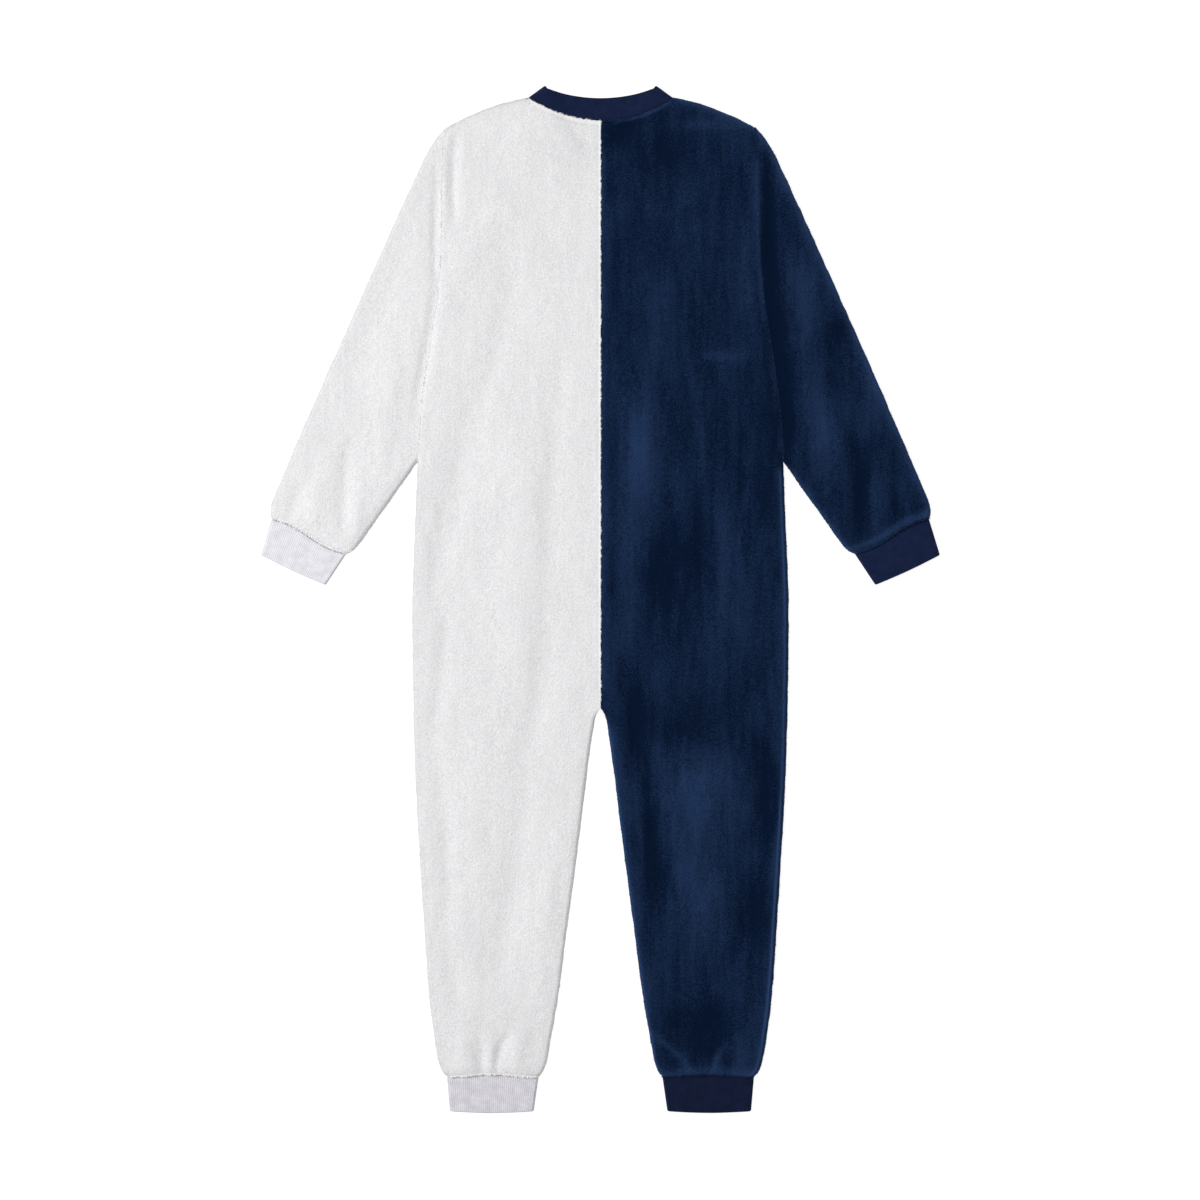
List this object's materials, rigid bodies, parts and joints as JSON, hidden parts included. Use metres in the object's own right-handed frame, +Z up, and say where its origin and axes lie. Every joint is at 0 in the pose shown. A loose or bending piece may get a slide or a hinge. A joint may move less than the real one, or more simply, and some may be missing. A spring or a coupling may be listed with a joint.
{
  "type": "onesie pajama",
  "caption": "Child's fleece onesie pajama in two colours, laid flat on its front, with rib neckband and cuffs, long sleeves and legs and a front zip.",
  "frame": {"origin": "on the surface the garment lies on, under the middle of its outline", "axes": "+X to the wearer's right (right in the picture), +Y up the garment to the neck, +Z up out of its back"},
  "size_m": [0.679, 1.0269, 0.0108],
  "materials": {
    "fleece_white": "plush polyester fleece",
    "fleece_navy": "plush polyester fleece",
    "rib_white": "rib knit",
    "rib_navy": "rib knit",
    "zip_tape": "woven polyester tape",
    "zip_teeth": "moulded nylon",
    "zip_metal": "satin zinc alloy"
  },
  "bodies": {
    "garment": {"back_left": "fleece_white", "back_right": "fleece_navy", "front_left": "fleece_white", "front_right": "fleece_navy", "sleeve_left": "fleece_white", "sleeve_right": "fleece_navy", "neckband": "rib_navy", "sleeve_cuff_left": "rib_white", "sleeve_cuff_right": "rib_navy", "leg_cuff_left": "rib_white", "leg_cuff_right": "rib_navy", "zip_tape_left": "zip_tape", "zip_tape_right": "zip_tape", "zip_chain": "zip_teeth", "zip_slider": "zip_metal"},
    "pull_tab": {"zip_pull": "zip_metal"}
  },
  "joints": [
    {"name": "pull_hinge", "type": "hinge", "parent": "garment", "child": "pull_tab", "pos_m": [0, 0.425, 0.00135], "axis": [1, 0, 0], "range_deg": [0, 180]}
  ]
}
